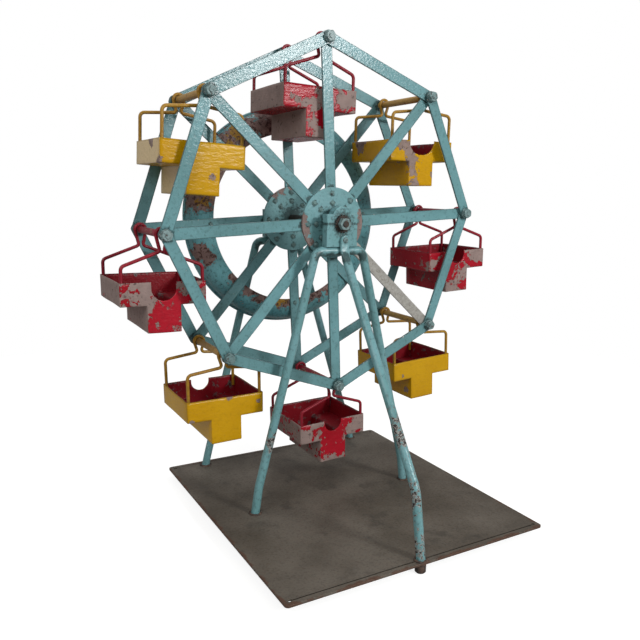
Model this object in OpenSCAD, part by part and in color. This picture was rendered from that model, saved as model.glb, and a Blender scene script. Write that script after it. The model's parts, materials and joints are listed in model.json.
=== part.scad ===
// Toy ferris wheel of flat steel bar: two octagon wheels on one axle, eight hanging tubs,
// bent-rod frames and a raking strut on a thin steel plate. +Z is up, the axle lies along Y.
// The origin is on the floor, under the middle of the whole toy.

/* [Wheels] */
// Distance from the axle to the bolt at each corner of the wheels
corner_r = 180; // [172:1:195]
// Turn of the wheels at rest, clockwise from the front, in degrees
wheel_turn = -3.3; // [-20:0.1:20]
// Clear width between the two wheels
wheel_gap = 92; // [88:0.5:104]
// Width of the flat bar in spokes and rims
bar_w = 12.2; // [11:0.1:14]
// Thickness of the flat bar
bar_t = 2.2; // [1.6:0.1:3]

/* [Hub] */
// Radius of the two hub discs
disc_r = 36.5; // [34:0.5:42]
// Thickness of the hub discs
disc_t = 2.6; // [2:0.1:3.5]
// Distance from a disc's edge to its outer row of rivets
rivet_edge = 6.2; // [5:0.1:8]
// Distance between the two rows of rivets
rivet_step = 10.1; // [8:0.1:11]
// Shank diameter of the rivets
rivet_d = 3.2; // [2.5:0.1:4]
// Diameter of the axle in its bearings
axle_d = 9.5; // [8:0.1:11]
// Diameter of the axle's threaded ends
thread_d = 6.4; // [5:0.1:7]
// Width across the flats of the axle nuts
axle_nut_w = 11.1; // [10:0.1:13]
// Thickness of the axle nuts
axle_nut_t = 5.5; // [4:0.1:7]
// Diameter of the toothed washers under the axle nuts
tooth_washer_d = 19; // [16:0.5:20]
// Outer diameter of the spacers on the axle
spacer_d = 16; // [14:0.5:20]

/* [Corner bolts] */
// Diameter of the bolts through the wheel corners
bolt_d = 4.8; // [4:0.1:5.2]
// Width across the flats of the corner nuts and bolt heads
nut_w = 9.5; // [8:0.1:10.5]
// Thickness of the corner nuts
nut_t = 4.2; // [3:0.1:5]
// Diameter of the washers under the corner nuts
washer_d = 11.4; // [11:0.1:12.2]
// Thickness of the washers
washer_t = 0.9; // [0.6:0.1:1.4]
// Outer diameter of the spacer sleeves
sleeve_d = 7.2; // [6.6:0.1:8]

/* [Tubs] */
// Length of a tub along the rim
tub_l = 85; // [76:1:90]
// Space between a tub and the spokes on each side
tub_side_gap = 5.5; // [4:0.1:8]
// Height of the tray, the wide upper part of a tub
tray_h = 22.4; // [18:0.2:26]
// Width of the foot well
well_w = 33.6; // [26:0.2:40]
// Depth of the foot well below the tray
well_h = 26.9; // [20:0.2:30]
// Thickness of the sheet metal
sheet_t = 1; // [0.8:0.1:1.5]
// Distance from the sleeve's centre down to the tub's top edge
hang_h = 44.8; // [42:0.2:50]
// Width of the notch in each tub's end wall, clockwise from the top
notch_widths = [20, 35, 21, 21, 22, 21, 25, 21];
// Depth of each notch
notch_depths = [14, 15.5, 15, 14, 13, 13, 18, 14];

/* [Bails] */
// Diameter of the bail rod
bail_d = 3.4; // [2.8:0.1:4]
// Height of a red tub's bail posts above the tub
red_post_h = 15; // [12:0.5:20]
// Height of a yellow tub's bail posts above the tub
yellow_post_h = 28; // [22:0.5:29]
// Length of a bail post inside the tub
post_seat = 12; // [8:0.5:16]

/* [Belt ring] */
// Inner radius of the ring's flange
ring_inner_r = 95.5; // [88:0.5:100]
// Width of the flat flange that lies on the spokes
ring_flange = 9; // [8:0.5:11]
// Radius of the rolled shoulder
ring_roll = 17.5; // [14:0.5:20]
// Thickness of the ring's metal
ring_t = 1.6; // [1.2:0.1:2.2]
// Diameter of the bead round the outer edge
ring_bead_d = 4.8; // [4:0.1:6]

/* [Stand] */
// Width of the plate
plate_w = 302; // [280:1:340]
// Depth of the plate behind the middle of the back frame
plate_back_lip = 13.1; // [8:0.1:40]
// Thickness of the plate
plate_t = 2.5; // [2:0.1:4]
// How far the plate's middle lies to the right of the axle
plate_shift = 7.8; // [0:0.2:12]
// Depth of the plate in front of the middle of the strut's foot
plate_front_lip = 5.8; // [5:0.1:12]
// Inset of the corner holes
hole_inset = 7; // [6:0.5:12]
// Diameter of the corner holes
hole_d = 4; // [3:0.1:5]
// Clear height between the plate and a tub at the bottom of its round
tub_clear = 30.9; // [20:0.1:60]
// Diameter of the bent rod
rod_d = 9.2; // [8:0.1:10.5]
// Height of the feet under the plate
foot_h = 10; // [6:0.5:14]
// Diameter of the feet
foot_d = 10.8; // [9:0.1:12]
// Width of each frame's top run, between its bends
top_run = 56; // [50:1:64]
// Distance of the top run below the axle
top_drop = 28; // [27:0.2:32]
// Half the spread of the front feet
front_spread = 97.5; // [85:0.5:110]
// Distance of the back left foot from the middle
back_left_spread = 99.5; // [85:0.5:110]
// Distance of the back right foot from the middle
back_right_spread = 114; // [90:0.5:120]
// Distance from the middle of the wheel to the strut's foot
strut_reach = 225; // [215:0.5:235]

/* [Bearings] */
// Width of a bearing block
block_w = 36.4; // [34:0.2:42]
// Thickness of a bearing block
block_t = 9.5; // [8:0.1:11]
// Height of the cap's shoulders above the axle
shoulder_h = 9.7; // [9:0.1:12]
// Radius of the cap's round boss
boss_r = 11.8; // [11:0.1:12.5]
// Height of the boss's centre above the axle
boss_rise = 5.7; // [4:0.1:7]

/* [Hidden] */
cars = 8;
step = 360 / cars;
half_step = step / 2;
$fn = 48;
// Running clearance of a shaft in its bore, on the radius
run_fit = 0.08;
// Clearance of a bolt, rivet or screw in its hole, on the radius
hole_fit = 0.1;
// End play of a turning piece against its neighbour
end_play = 0.3;
// Seat gap of a soldered rod
seat_gap = 0.3;
// Overrun of every cut
cut = 1;
// How far a threaded end stands past its nut
thread_end = 1;

// Wheel layers, outwards from the middle of the wheel
spoke_in = wheel_gap / 2;
spoke_out = spoke_in + bar_t;
lap_in = spoke_out + bar_t;
// Coat of paint between two lapped bars
lap_gap = 0.05;
lap_out = lap_in + lap_gap + bar_t;
bolt_end = lap_out + washer_t + nut_t + thread_end;
head_t = 3.4;
outer_rivets_r = disc_r - rivet_edge;
inner_rivets_r = outer_rivets_r - rivet_step;
wedge_r = bar_w / 2 / tan(half_step);
spoke_start_r = 12;
spoke_start_gap = 0.3;
// The bars' ends are filed a little flatter than a half circle
end_ease = 0.25;
bar_end_r = bar_w / 2 + end_ease;

// Rivets
rivet_brim = 1;
rivet_head_d = rivet_d + 2 * rivet_brim;
rivet_head_t = 1.6;
rivet_crown_in = 0.2;
rivet_crown_d = rivet_d - 2 * rivet_crown_in;

// Frames and bearings, as distances from the middle of the wheel
frame_clear = 1.9;
front_frame = bolt_end + frame_clear + rod_d / 2;
ring_depth = ring_roll + ring_bead_d;
back_clear = 8;
back_frame = spoke_out + ring_depth + back_clear + rod_d / 2;
block_low = top_drop - rod_d / 2;
tooth_washer_t = 1.2;
thread_l = end_play + tooth_washer_t + axle_nut_t + thread_end;
back_end = back_frame + block_t / 2 + thread_l;

// Plate, from its front edge in front of the middle of the wheel to its back edge
plate_top = foot_h + plate_t;
plate_front = strut_reach + plate_front_lip;
plate_d = plate_front + back_frame + plate_back_lip;

// Bent rods
bend_swell = 0.12;
bend_lap = 0.4;
top_bend = 9;
knee_bend = 40;
front_knee_share = 0.953;
back_knee_share = 0.967;
front_knee_h = 30;
back_knee_h = 14;
strut_flat_t = 3.4;
strut_flat_w = 10.4;
strut_flat_top = 11.4;
strut_flat_low = top_drop;
strut_step = 4.6;
strut_blend = 9;
strut_knee_h = 65;
strut_knee_back = 13;
strut_side = 2.3;
strut_screw_d = 3.4;
strut_screw_drop = 16.6;
strut_screw_l = strut_flat_t + block_t / 2;
screw_head_d = 6.4;
screw_head_t = 2;
slot_w = 1;
slot_h = 0.9;
cap_screw_d = 3;
cap_screw_head_d = 5.4;
cap_screw_head_t = 1.5;
cap_screw_l = 16;
weld_gap = 0.45;
weld_w = 2.6;
weld_h = 1.5;
foot_round = 1.2;
plate_round = 4;

// Tubs and bails, measured from the sleeve's centre
tub_d = wheel_gap - 2 * tub_side_gap;
tray_low = hang_h + tray_h;
well_low = tray_low + well_h;
// Height of the axle above the plate, and above the floor
hub_h = corner_r + well_low + tub_clear;
hub_z = plate_top + hub_h;
notch_flat = 0.5;
post_x = tub_l / 2 - sheet_t - seat_gap - bail_d / 2;
bail_y = tub_d / 2 - sheet_t - seat_gap - bail_d / 2;
eye_gap = 0.3;
eye_r = sleeve_d / 2 + eye_gap + bail_d / 2;
neck_gap = 0.5;
neck_x = (bail_d + neck_gap) / 2;
post_bend = 5;
neck_bend = 3;
red_neck = 16;
yellow_neck = 12.5;
// Tubs whose notch is in the front wall, counted clockwise from the top
front_notches = [false, true, true, false, true, false, true, false];
// Swing at which each tub hangs at rest, in degrees, clockwise seen from the front
hang_swings = [1.1, -0.4, -2.6, -3.5, -1.8, -0.8, 0.5, 2.8];

// Middle of the wheel, so that the toy is centred on the origin: its right and left tubs reach furthest
right_tub = 3;
left_tub = 7;
wheel_x = -(tub_reach(right_tub, 1) + tub_reach(left_tub, -1)) / 2;
wheel_y = (plate_front - max(back_end, plate_d - plate_front)) / 2;
plate_y = wheel_y - plate_front;

// Belt ring
ring_bolt_r = ring_inner_r + ring_flange / 2;
ring_bolts_count = 4;

steel_plate = "#5A524A";
teal = "#6FA5A3";
dark_steel = "#4A4643";
bare_steel = "#A9AAA6";
red_paint = "#B8182C";
yellow_paint = "#C99700";
sleeve_paint = "#A8752A";
rust = "#5B2A1A";

tubs = [for (i = [1 : cars]) str("tub_", i)];
bails = [for (i = [1 : cars]) str("bails_", i)];
sleeves = [for (i = [1 : cars]) str("sleeve_", i)];

// Turn of corner i, clockwise from the top
function turn(i) = wheel_turn + (i - 1) * step;
// Corner i's bolt, in the plane of the wheel
function corner(i) = [wheel_x + corner_r * sin(turn(i)), hub_z + corner_r * cos(turn(i))];
// How far tub i's lower tray corner lies to one side of the axle, side 1 for right and -1 for left
function tub_reach(i, side) =
    corner_r * sin(turn(i)) + side * tub_l / 2 * cos(hang_swings[i - 1]) - tray_low * sin(hang_swings[i - 1]);
function is_red(i) = i % 2 == 1;
function heading(a, b) = atan2(b.y - a.y, b.x - a.x);
function unit(a, b) = (b - a) / norm(b - a);
function left_of(u) = [-u.y, u.x];
// Signed turn of a path at its point i
function bend_turn(p, i) =
    let (a = unit(p[i - 1], p[i]), b = unit(p[i], p[i + 1]))
    atan2(a.x * b.y - a.y * b.x, a.x * b.x + a.y * b.y);
// Length that the bend at point i takes off each side
function trim(p, r, i) =
    i == 0 || i == len(p) - 1 ? 0 : r[i] * tan(abs(bend_turn(p, i)) / 2);

// Length of the straight run that reaches into the bend at point i, or into nothing at an end
function reach(p, i) = i == 0 || i == len(p) - 1 ? 0 : bend_lap;

// Round rod of diameter d in the XY plane, along the points p, bent to the radii r. A bend is a little
// thicker than the straight runs, which end inside it.
module bent_rod(p, r, d) {
    for (i = [0 : len(p) - 2]) {
        u = unit(p[i], p[i + 1]);
        a = p[i] + u * (trim(p, r, i) - reach(p, i));
        b = p[i + 1] - u * (trim(p, r, i + 1) - reach(p, i + 1));
        translate([a.x, a.y, 0])
            rotate([0, 0, heading(a, b)])
                rotate([0, 90, 0])
                    cylinder(d = d, h = norm(b - a));
    }
    for (i = [1 : len(p) - 2]) {
        t = bend_turn(p, i);
        start = p[i] - unit(p[i - 1], p[i]) * trim(p, r, i);
        centre = start + left_of(unit(p[i - 1], p[i])) * r[i] * sign(t);
        translate([centre.x, centre.y, 0])
            rotate([0, 0, heading(centre, start) + min(t, 0)])
                rotate_extrude(angle = abs(t))
                    translate([r[i], 0])
                        circle(d = d + bend_swell);
    }
}

// Cylinder along Y, from y0 to y1
module lying(d, y0, y1) {
    translate([0, y1, 0])
        rotate([90, 0, 0])
            cylinder(d = d, h = y1 - y0);
}

// Hexagonal prism along Y, w across its flats
module lying_hex(w, y0, y1) {
    translate([0, y1, 0])
        rotate([90, 0, 0])
            cylinder(d = w / cos(30), h = y1 - y0, $fn = 6);
}

// Flat outline in the plane of the wheel, from y0 to y1, measured from the axle
module wheel_sheet(y0, y1) {
    translate([wheel_x, wheel_y + y1, hub_z])
        rotate([90, 0, 0])
            linear_extrude(y1 - y0)
                children();
}

// Places its children at the axle's height in the middle of the wheel
module at_hub() {
    translate([wheel_x, wheel_y, hub_z])
        children();
}

module at_corner(i) {
    translate([corner(i).x, wheel_y, corner(i).y])
        children();
}

// Places its children on corner i's sleeve, at the swing of the tub that hangs there
module at_hanger(i) {
    at_corner(i)
        rotate([0, hang_swings[i - 1], 0])
            children();
}

module rounded_plate_outline(w, d, r) {
    square([w - 2 * r, d], center = true);
    square([w, d - 2 * r], center = true);
    for (x = [-1, 1], y = [-1, 1])
        translate([x * (w / 2 - r), y * (d / 2 - r)])
            circle(r = r);
}

// Places of the five feet on the plate, in the toy's own frame
foot_places = [
    [wheel_x - front_spread, wheel_y - front_frame],
    [wheel_x + front_spread, wheel_y - front_frame],
    [wheel_x - back_left_spread, wheel_y + back_frame],
    [wheel_x + back_right_spread, wheel_y + back_frame],
    [wheel_x + strut_side, wheel_y - strut_reach]
];

module base_plate() {
    color(steel_plate)
        translate([wheel_x + plate_shift, plate_y + plate_d / 2, foot_h])
            linear_extrude(plate_t)
                difference() {
                    rounded_plate_outline(plate_w, plate_d, plate_round);
                    for (x = [-1, 1], y = [-1, 1])
                        translate([x * (plate_w / 2 - hole_inset), y * (plate_d / 2 - hole_inset)])
                            circle(d = hole_d);
                }
}

// Stub of round bar under each leg
module feet() {
    color(rust)
        for (p = foot_places)
            translate([p.x, p.y, 0])
                rotate_extrude()
                    polygon([
                        [0, 0],
                        [foot_d / 2 - foot_round, 0],
                        [foot_d / 2, foot_round],
                        [foot_d / 2, foot_h],
                        [0, foot_h]
                    ]);
}

// Weld bead on the plate round each leg
module foot_welds() {
    bead_in = rod_d / 2 + weld_gap;
    color(rust)
        difference() {
            for (p = foot_places)
                translate([p.x, p.y, plate_top])
                    rotate_extrude()
                        polygon([[bead_in, 0], [bead_in + weld_w, 0], [bead_in, weld_h]]);
            // The strut's bead ends at the plate's front edge
            translate([-plate_w, plate_y - plate_d, plate_top - cut])
                cube([2 * plate_w, plate_d, weld_h + 2 * cut]);
        }
}

// Bent A-frame, feet at left_x and right_x, its knees at the given share of the spread
module a_frame(y, left_x, right_x, knee_share, knee_h) {
    foot_slope = (1 - knee_share) / knee_h;
    below = rod_d;
    points = [
        [left_x * (1 + foot_slope * below), plate_top - below],
        [left_x * knee_share, plate_top + knee_h],
        [-top_run / 2, hub_z - top_drop],
        [top_run / 2, hub_z - top_drop],
        [right_x * knee_share, plate_top + knee_h],
        [right_x * (1 + foot_slope * below), plate_top - below]
    ];
    difference() {
        translate([wheel_x, y, 0])
            rotate([90, 0, 0])
                bent_rod(points, [0, knee_bend, top_bend, top_bend, knee_bend, 0], rod_d);
        translate([-plate_w, y - rod_d, plate_top - 2 * below])
            cube([2 * plate_w, 2 * rod_d, 2 * below]);
    }
}

module front_frame_rod() {
    color(teal)
        a_frame(wheel_y - front_frame, -front_spread, front_spread, front_knee_share, front_knee_h);
}

module back_frame_rod() {
    color(teal)
        a_frame(wheel_y + back_frame, -back_left_spread, back_right_spread, back_knee_share, back_knee_h);
}

// Raking strut: hammered flat and screwed to the front bearing at its top, down to the plate's front edge
module front_strut() {
    flat_y = wheel_y - front_frame - block_t / 2 - strut_flat_t / 2;
    foot_y = wheel_y - strut_reach;
    below = rod_d;
    foot_slope = strut_knee_back / strut_knee_h;
    flat_low_z = hub_z - strut_flat_low;
    knee = [foot_y + strut_knee_back, plate_top + strut_knee_h];
    // The round rod starts in front of the frame's top run
    start = [flat_y - strut_step, flat_low_z - strut_blend];
    points = [
        start,
        knee,
        [foot_y - foot_slope * below, plate_top - below]
    ];
    color(teal)
        translate([wheel_x + strut_side, 0, 0])
            difference() {
                union() {
                    // YZ plane: the path's x is the toy's y
                    rotate([90, 0, 90])
                        bent_rod(points, [0, knee_bend, 0], rod_d);
                    // Hammered blend from the flat to the round rod
                    hull() {
                        translate([0, start.x, start.y])
                            sphere(d = rod_d + bend_swell, $fn = 24);
                        translate([0, flat_y, flat_low_z])
                            cube([strut_flat_w, strut_flat_t, strut_flat_t] + bend_swell * [1, 1, 1], center = true);
                    }
                    translate([0, flat_y, 0])
                        rotate([90, 0, 0])
                            translate([0, 0, -strut_flat_t / 2])
                                linear_extrude(strut_flat_t)
                                    strut_flat_outline();
                }
                translate([0, flat_y, hub_z - strut_screw_drop])
                    lying(strut_screw_d + 2 * hole_fit, -strut_flat_t, strut_flat_t);
                translate([-rod_d, foot_y - plate_t - 2 * rod_d, plate_top - 2 * below])
                    cube([2 * rod_d, 4 * rod_d, 2 * below]);
            }
}

// Flat end of the strut, round at its top
module strut_flat_outline() {
    round_z = hub_z - strut_flat_top - strut_flat_w / 2;
    translate([0, round_z])
        circle(d = strut_flat_w);
    translate([-strut_flat_w / 2, hub_z - strut_flat_low])
        square([strut_flat_w, round_z - hub_z + strut_flat_low]);
}

// Outline of a bearing block's lower half, and of its cap with the round boss
module bearing_outline_low() {
    translate([-block_w / 2, -block_low])
        square([block_w, block_low]);
}

module bearing_outline_cap() {
    translate([-block_w / 2, 0])
        square([block_w, shoulder_h]);
    intersection() {
        translate([0, boss_rise])
            circle(r = boss_r);
        translate([-boss_r, 0])
            square([2 * boss_r, boss_rise + boss_r]);
    }
}

// Shared cuts of the two halves: axle bore and the two cap screws, y is the block's middle
module bearing_cuts() {
    lying(axle_d + 2 * run_fit, -block_t, block_t);
    for (x = [-1, 1])
        translate([x * cap_screw_x, 0, shoulder_h - cap_screw_l - cut])
            cylinder(d = cap_screw_d + 2 * hole_fit, h = cap_screw_l + 2 * cut);
}
cap_screw_x = (boss_r + block_w / 2) / 2;

module bearing_low(y) {
    color(teal)
        translate([wheel_x, wheel_y + y, hub_z])
            difference() {
                translate([0, block_t / 2, 0])
                    rotate([90, 0, 0])
                        linear_extrude(block_t)
                            bearing_outline_low();
                bearing_cuts();
                children();
            }
}

module bearing_cap(y) {
    color(teal)
        translate([wheel_x, wheel_y + y, hub_z])
            difference() {
                translate([0, block_t / 2, 0])
                    rotate([90, 0, 0])
                        linear_extrude(block_t)
                            bearing_outline_cap();
                bearing_cuts();
                for (x = [-1, 1])
                    translate([x * cap_screw_x, 0, shoulder_h - cap_screw_head_t - hole_fit])
                        cylinder(d = cap_screw_head_d + 2 * hole_fit, h = cap_screw_head_t + cut);
            }
}

module front_bearing() {
    bearing_low(-front_frame)
        translate([strut_side, 0, -strut_screw_drop])
            lying(strut_screw_d + 2 * hole_fit, -block_t, hole_fit);
}

module front_bearing_cap() {
    bearing_cap(-front_frame);
}

module back_bearing() {
    bearing_low(back_frame);
}

module back_bearing_cap() {
    bearing_cap(back_frame);
}

// Slotted screws that hold the caps, sunk in the shoulders
module cap_screws() {
    color(dark_steel)
        for (y = [-front_frame, back_frame], x = [-1, 1])
            translate([wheel_x + x * cap_screw_x, wheel_y + y, hub_z + shoulder_h])
                difference() {
                    union() {
                        translate([0, 0, -cap_screw_l])
                            cylinder(d = cap_screw_d, h = cap_screw_l);
                        translate([0, 0, -cap_screw_head_t])
                            cylinder(d = cap_screw_head_d, h = cap_screw_head_t);
                    }
                    translate([-cap_screw_head_d, -slot_w / 2, -slot_h])
                        cube([2 * cap_screw_head_d, slot_w, slot_h + cut]);
                }
}

// Round-headed screw through the strut's flat end
module strut_screw() {
    face = -front_frame - block_t / 2 - strut_flat_t;
    color(dark_steel)
        translate([wheel_x + strut_side, wheel_y + face, hub_z - strut_screw_drop])
            difference() {
                union() {
                    lying(strut_screw_d, 0, strut_screw_l);
                    rotate([90, 0, 0])
                        cylinder(d1 = screw_head_d, d2 = screw_head_d / 2, h = screw_head_t);
                }
                translate([-screw_head_d, -screw_head_t - cut, -slot_w / 2])
                    cube([2 * screw_head_d, slot_h + cut, slot_w]);
            }
}

module axle() {
    front = -front_frame - block_t / 2;
    back = back_frame + block_t / 2;
    color(dark_steel)
        at_hub() {
            lying(axle_d, front, back);
            lying(thread_d, front - thread_l, front);
            lying(thread_d, back, back + thread_l);
        }
}

// Faces of the two axle washers and nuts, outwards from the bearings
module each_axle_end() {
    translate([0, -front_frame - block_t / 2 - end_play, 0])
        children();
    translate([0, back_frame + block_t / 2 + end_play, 0])
        mirror([0, 1, 0])
            children();
}

module axle_nuts() {
    color(dark_steel)
        at_hub()
            each_axle_end()
                difference() {
                    lying_hex(axle_nut_w, -tooth_washer_t - axle_nut_t, -tooth_washer_t);
                    lying(thread_d + 2 * hole_fit, -tooth_washer_t - 2 * axle_nut_t, cut);
                }
}

// Washers with teeth round their edge
module axle_washers() {
    teeth = 18;
    tooth_w = 1.6;
    tooth_depth = 1.4;
    color(dark_steel)
        at_hub()
            each_axle_end()
                rotate([90, 0, 0])
                    linear_extrude(tooth_washer_t)
                        difference() {
                            union() {
                                circle(d = tooth_washer_d - 2 * tooth_depth);
                                for (k = [1 : teeth])
                                    rotate(k * 360 / teeth)
                                        translate([0, -tooth_w / 2])
                                            square([tooth_washer_d / 2, tooth_w]);
                            }
                            circle(d = thread_d + 2 * hole_fit);
                        }
}

// Spacers between the hub discs and the bearings
module axle_spacers() {
    front_disc_face = spoke_out + disc_t;
    color(dark_steel)
        at_hub()
            difference() {
                union() {
                    lying(spacer_d, -front_frame + block_t / 2 + end_play, -front_disc_face);
                    lying(spacer_d, spoke_in, back_frame - block_t / 2 - end_play);
                }
                lying(axle_d + 2 * hole_fit, -front_frame, back_frame);
            }
}

// Calls its children at every rivet place, turned with the wheel
module at_rivets() {
    for (i = [1 : cars], r = [outer_rivets_r, inner_rivets_r])
        rotate(-turn(i))
            translate([0, r])
                children();
}

module hub_disc(y0, y1) {
    color(teal)
        wheel_sheet(y0, y1)
            difference() {
                circle(r = disc_r);
                circle(d = axle_d + 2 * hole_fit);
                at_rivets()
                    circle(d = rivet_d + 2 * hole_fit);
            }
}

module front_hub_disc() {
    hub_disc(-spoke_out - disc_t, -spoke_out);
}

module back_hub_disc() {
    hub_disc(spoke_in - disc_t, spoke_in);
}

// Rivets from head_y, where the crowned head sits, to tail_y
module hub_rivets(head_y, tail_y) {
    grip = tail_y - head_y;
    color(dark_steel)
        translate([wheel_x, wheel_y + head_y, hub_z])
            rotate([90, 0, 0])
                at_rivets()
                    rotate_extrude()
                        polygon([
                            [0, rivet_head_t],
                            [rivet_crown_d / 2, rivet_head_t],
                            [rivet_head_d / 2, 0],
                            [rivet_d / 2, 0],
                            [rivet_d / 2, -grip],
                            [rivet_head_d / 2, -grip],
                            [rivet_crown_d / 2, -grip - rivet_head_t / 2],
                            [0, -grip - rivet_head_t / 2]
                        ]);
}

module front_hub_rivets() {
    hub_rivets(-spoke_out - disc_t, -spoke_in);
}

module back_hub_rivets() {
    hub_rivets(spoke_in - disc_t, spoke_out);
}

// Flat bar spoke, pointed at the hub and round at the corner bolt
module spoke_outline(i, ring_hole) {
    start_w = spoke_start_r * tan(half_step) - spoke_start_gap;
    full_r = wedge_r + spoke_start_gap / tan(half_step);
    rotate(-turn(i))
        difference() {
            intersection() {
                polygon([
                    [-start_w, spoke_start_r],
                    [-bar_w / 2, full_r],
                    [-bar_w / 2, corner_r + bar_w],
                    [bar_w / 2, corner_r + bar_w],
                    [bar_w / 2, full_r],
                    [start_w, spoke_start_r]
                ]);
                union() {
                    translate([-bar_w, 0])
                        square([2 * bar_w, corner_r]);
                    translate([0, corner_r])
                        circle(r = bar_end_r);
                }
            }
            translate([0, corner_r])
                circle(d = bolt_d + 2 * hole_fit);
            for (r = [outer_rivets_r, inner_rivets_r])
                translate([0, r])
                    circle(d = rivet_d + 2 * hole_fit);
            if (ring_hole)
                translate([0, ring_bolt_r])
                    circle(d = rivet_d + 2 * hole_fit);
        }
}

// The front spoke towards this corner was replaced in bare steel
bare_spoke = 4;

module front_spokes() {
    color(teal)
        wheel_sheet(-spoke_out, -spoke_in)
            for (i = [1 : cars])
                if (i != bare_spoke)
                    spoke_outline(i, false);
}

module bare_front_spoke() {
    color(bare_steel)
        wheel_sheet(-spoke_out, -spoke_in)
            spoke_outline(bare_spoke, false);
}

module back_spokes() {
    color(teal)
        wheel_sheet(spoke_in, spoke_out)
            for (i = [1 : cars])
                spoke_outline(i, has_ring_bolt(i));
}
function has_ring_bolt(i) = i % (cars / ring_bolts_count) == 1;

// Rim bar from corner i to the next, round at both ends
module rim_outline(i) {
    chord = 2 * corner_r * sin(half_step);
    rotate(-turn(i))
        translate([0, corner_r])
            rotate(-half_step)
                difference() {
                    intersection() {
                        translate([-bar_w, -bar_w / 2])
                            square([chord + 2 * bar_w, bar_w]);
                        union() {
                            circle(r = bar_end_r);
                            translate([0, -bar_w])
                                square([chord, 2 * bar_w]);
                            translate([chord, 0])
                                circle(r = bar_end_r);
                        }
                    }
                    circle(d = bolt_d + 2 * hole_fit);
                    translate([chord, 0])
                        circle(d = bolt_d + 2 * hole_fit);
                }
}

// Every other bar laps outside its neighbours
module front_rim_bars() {
    color(teal)
        for (i = [1 : cars])
            if (i % 2 == 1)
                wheel_sheet(-lap_in, -spoke_out)
                    rim_outline(i);
            else
                wheel_sheet(-lap_out, -lap_in - lap_gap)
                    rim_outline(i);
}

module back_rim_bars() {
    color(teal)
        for (i = [1 : cars])
            if (i % 2 == 1)
                wheel_sheet(spoke_out, lap_in)
                    rim_outline(i);
            else
                wheel_sheet(lap_in + lap_gap, lap_out)
                    rim_outline(i);
}

module corner_bolts() {
    color(dark_steel)
        for (i = [1 : cars])
            at_corner(i) {
                lying(bolt_d, -bolt_end, lap_out);
                lying_hex(nut_w, lap_out, lap_out + head_t);
            }
}

module corner_nuts() {
    face = lap_out + washer_t;
    color(dark_steel)
        for (i = [1 : cars])
            at_corner(i)
                difference() {
                    lying_hex(nut_w, -face - nut_t, -face);
                    lying(bolt_d + 2 * hole_fit, -face - 2 * nut_t, cut - face);
                }
}

module corner_washers() {
    color(dark_steel)
        for (i = [1 : cars])
            at_corner(i)
                difference() {
                    lying(washer_d, -lap_out - washer_t, -lap_out);
                    lying(bolt_d + 2 * hole_fit, -lap_out - washer_t - cut, cut - lap_out);
                }
}

// Dished ring: flat flange on the spokes, rolled shoulder, bead round the back edge
module belt_ring() {
    roll_x = ring_inner_r + ring_flange;
    edge_l = ring_bead_d / 2;
    color(teal)
        translate([wheel_x, wheel_y + spoke_out, hub_z])
            difference() {
                rotate([-90, 0, 0])
                    rotate_extrude($fn = 96) {
                        translate([ring_inner_r, 0])
                            square([ring_flange, ring_t]);
                        intersection() {
                            difference() {
                                translate([roll_x, ring_roll])
                                    circle(r = ring_roll);
                                translate([roll_x, ring_roll])
                                    circle(r = ring_roll - ring_t);
                            }
                            translate([roll_x, 0])
                                square([ring_roll, ring_roll]);
                        }
                        translate([roll_x + ring_roll - ring_t, ring_roll])
                            square([ring_t, edge_l]);
                        translate([roll_x + ring_roll, ring_roll + edge_l])
                            circle(d = ring_bead_d);
                    }
                for (i = [1 : cars])
                    if (has_ring_bolt(i))
                        rotate([0, turn(i), 0])
                            translate([0, 0, ring_bolt_r])
                                lying(rivet_d + 2 * hole_fit, -cut, ring_t + cut);
            }
}

// Round-headed bolts that hold the ring to four of the back spokes
module ring_bolts() {
    grip = bar_t + ring_t;
    color(dark_steel)
        for (i = [1 : cars])
            if (has_ring_bolt(i))
                at_hub()
                    rotate([0, turn(i), 0])
                        translate([0, spoke_in, ring_bolt_r])
                            rotate([90, 0, 0])
                                rotate_extrude()
                                    polygon([
                                        [0, rivet_head_t],
                                        [rivet_crown_d / 2, rivet_head_t],
                                        [rivet_head_d / 2, 0],
                                        [rivet_d / 2, 0],
                                        [rivet_d / 2, -grip],
                                        [rivet_head_d / 2, -grip],
                                        [rivet_head_d / 2, -grip - rivet_head_t],
                                        [0, -grip - rivet_head_t]
                                    ]);
}

// T-shaped outline of a tub, drawn in by t, with its top raised by up
module tub_outline(t, up) {
    translate([-tub_l / 2 + t, -tray_low + t])
        square([tub_l - 2 * t, tray_h - t + up]);
    translate([-well_w / 2 + t, -well_low + t])
        square([well_w - 2 * t, well_h + t]);
}

module tub(i) {
    side = front_notches[i - 1] ? -1 : 1;
    color(is_red(i) ? red_paint : yellow_paint)
        at_hanger(i)
            difference() {
                translate([0, tub_d / 2, 0])
                    rotate([90, 0, 0])
                        linear_extrude(tub_d)
                            tub_outline(0, 0);
                translate([0, tub_d / 2 - sheet_t, 0])
                    rotate([90, 0, 0])
                        linear_extrude(tub_d - 2 * sheet_t)
                            tub_outline(sheet_t, cut);
                translate([0, side * (tub_d / 2 - sheet_t / 2), 0])
                    notch(i);
            }
}

// U-shaped cut through an end wall of tub i, its bottom corners as round as its size lets them be
module notch(i) {
    w = notch_widths[i - 1];
    h = notch_depths[i - 1];
    bottom_r = min(w / 2, h) - notch_flat;
    low = hang_h + h;
    translate([0, sheet_t, 0])
        rotate([90, 0, 0])
            linear_extrude(2 * sheet_t) {
                translate([-w / 2, bottom_r - low])
                    square([w, h - bottom_r + cut]);
                translate([bottom_r - w / 2, -low])
                    square([w - 2 * bottom_r, h + cut]);
                for (x = [-1, 1])
                    translate([x * (w / 2 - bottom_r), bottom_r - low])
                        circle(r = bottom_r);
            }
}

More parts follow.
